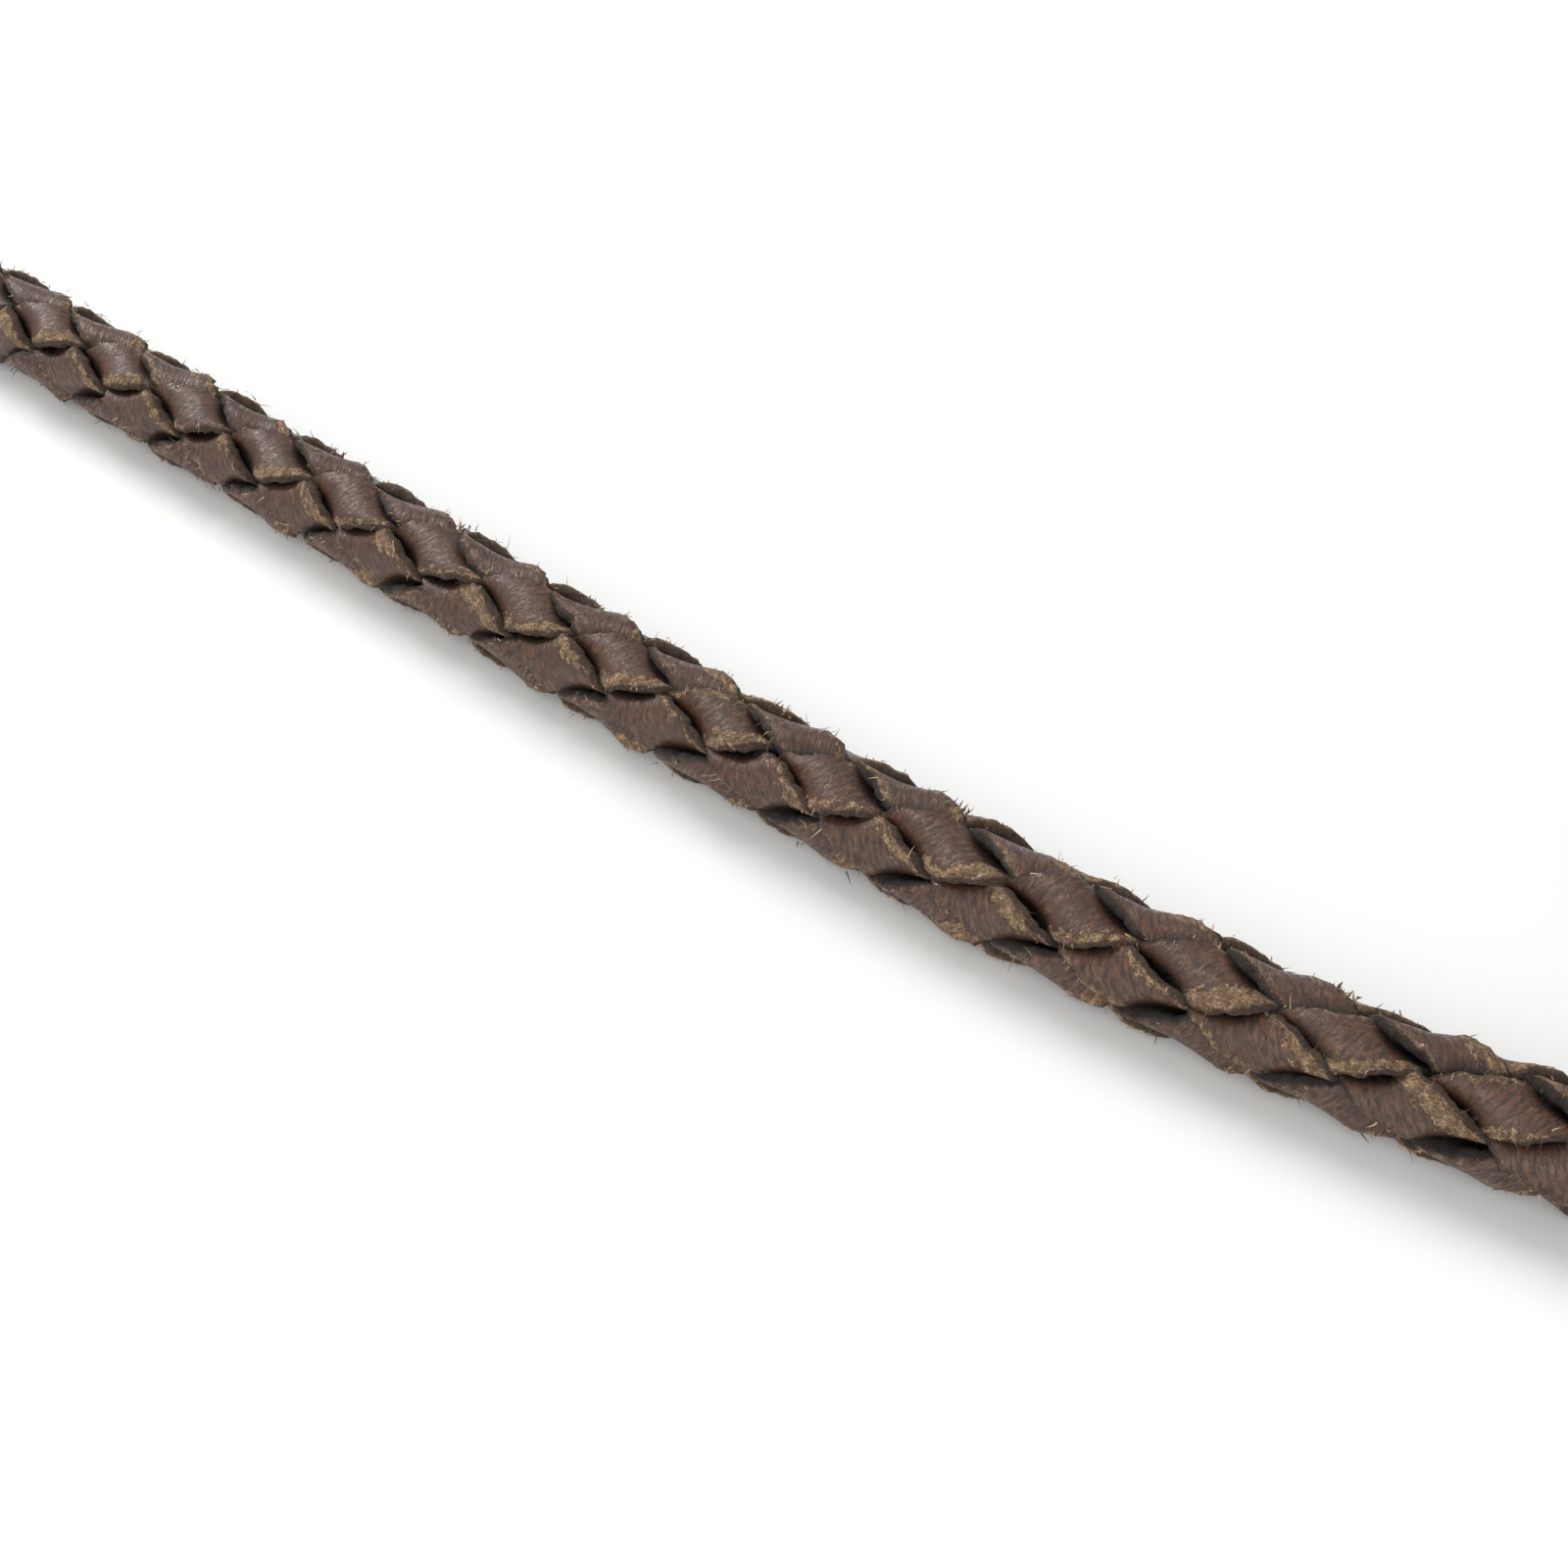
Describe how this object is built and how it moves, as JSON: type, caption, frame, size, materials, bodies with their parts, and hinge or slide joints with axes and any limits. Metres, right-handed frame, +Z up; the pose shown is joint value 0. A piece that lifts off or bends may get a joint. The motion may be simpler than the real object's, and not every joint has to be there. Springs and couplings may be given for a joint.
{
  "type": "eyeglass retainer strap",
  "caption": "Round-braided leather eyewear strap with a metal cap, ring and adjustable rubber temple loop on each end.",
  "frame": {"origin": "bottom centre of the box around the two end fittings, on the surface that the strap lies on", "axes": "+Z up; +Y along the right end fitting, from its cap to its loop; -X along the left end fitting, from its cap to its loop"},
  "size_m": [0.2523, 0.1247, 0.0124],
  "materials": {
    "braided_leather": "dark brown bridle leather with worn tan edges",
    "antique_metal": "antique dark brass, satin",
    "black_rubber": "matte black silicone rubber"
  },
  "bodies": {
    "strap": {"end_cap_left": "antique_metal", "end_cap_right": "antique_metal", "cord_run": "braided_leather", "cord_coil": "braided_leather", "cord_tail": "braided_leather"},
    "ring_left": {"jump_ring_left": "antique_metal"},
    "loop_left": {"loop_crimp_left": "antique_metal", "temple_loop_left": "black_rubber"},
    "slider_left": {"slider_left": "antique_metal"},
    "ring_right": {"jump_ring_right": "antique_metal"},
    "loop_right": {"loop_crimp_right": "antique_metal", "temple_loop_right": "black_rubber"},
    "slider_right": {"slider_right": "antique_metal"}
  },
  "joints": [
    {"name": "ring_swing_left", "type": "hinge", "parent": "strap", "child": "ring_left", "pos_m": [-0.08901, 0.00215, 0.00415], "axis": [0, 1, 0], "range_deg": [-35, 90]},
    {"name": "loop_swing_left", "type": "hinge", "parent": "ring_left", "child": "loop_left", "pos_m": [-0.0936, 0.00215, 0.0017], "axis": [0, 1, 0], "range_deg": [-80, 50]},
    {"name": "slider_travel_left", "type": "slide", "parent": "loop_left", "child": "slider_left", "axis": [-1, 0, 0], "range_m": [0, 0.005]},
    {"name": "ring_swing_right", "type": "hinge", "parent": "strap", "child": "ring_right", "pos_m": [0.1205, -0.01214, 0.00415], "axis": [1, 0, 0], "range_deg": [-35, 90]},
    {"name": "loop_swing_right", "type": "hinge", "parent": "ring_right", "child": "loop_right", "pos_m": [0.1205, -0.00756, 0.0017], "axis": [1, 0, 0], "range_deg": [-80, 50]},
    {"name": "slider_travel_right", "type": "slide", "parent": "loop_right", "child": "slider_right", "axis": [0, 1, 0], "range_m": [0, 0.005]}
  ]
}
